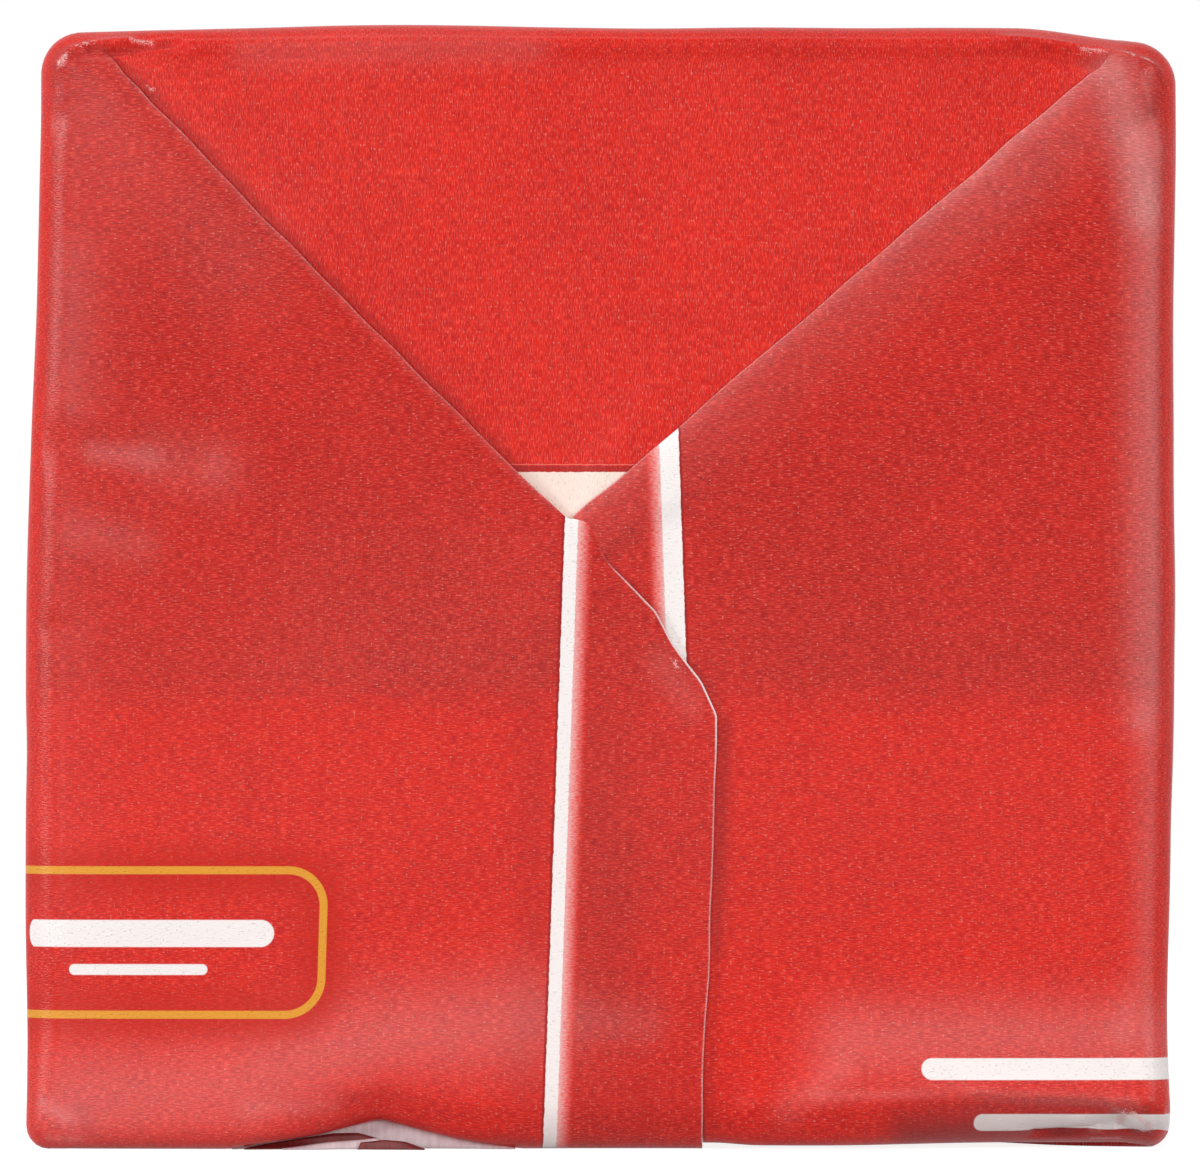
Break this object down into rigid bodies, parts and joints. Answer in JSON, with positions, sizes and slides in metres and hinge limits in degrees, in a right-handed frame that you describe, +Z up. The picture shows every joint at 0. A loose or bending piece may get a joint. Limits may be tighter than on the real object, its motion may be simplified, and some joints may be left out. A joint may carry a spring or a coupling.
{
  "type": "wrapped butter block",
  "caption": "Square-ended block of butter shut in a printed paper wrapper, its ends folded like an envelope and tucked under.",
  "frame": {"origin": "middle of the face that the block rests on", "axes": "+Z up, Y along the block, -Y out of the end face with the deeper folds facing the viewer, +X to the right of that end"},
  "size_m": [0.064, 0.1254, 0.0626],
  "materials": {
    "wrapper": "satin printed parchment paper"
  },
  "bodies": {
    "root": {"wrapped_block": "wrapper"}
  },
  "joints": []
}
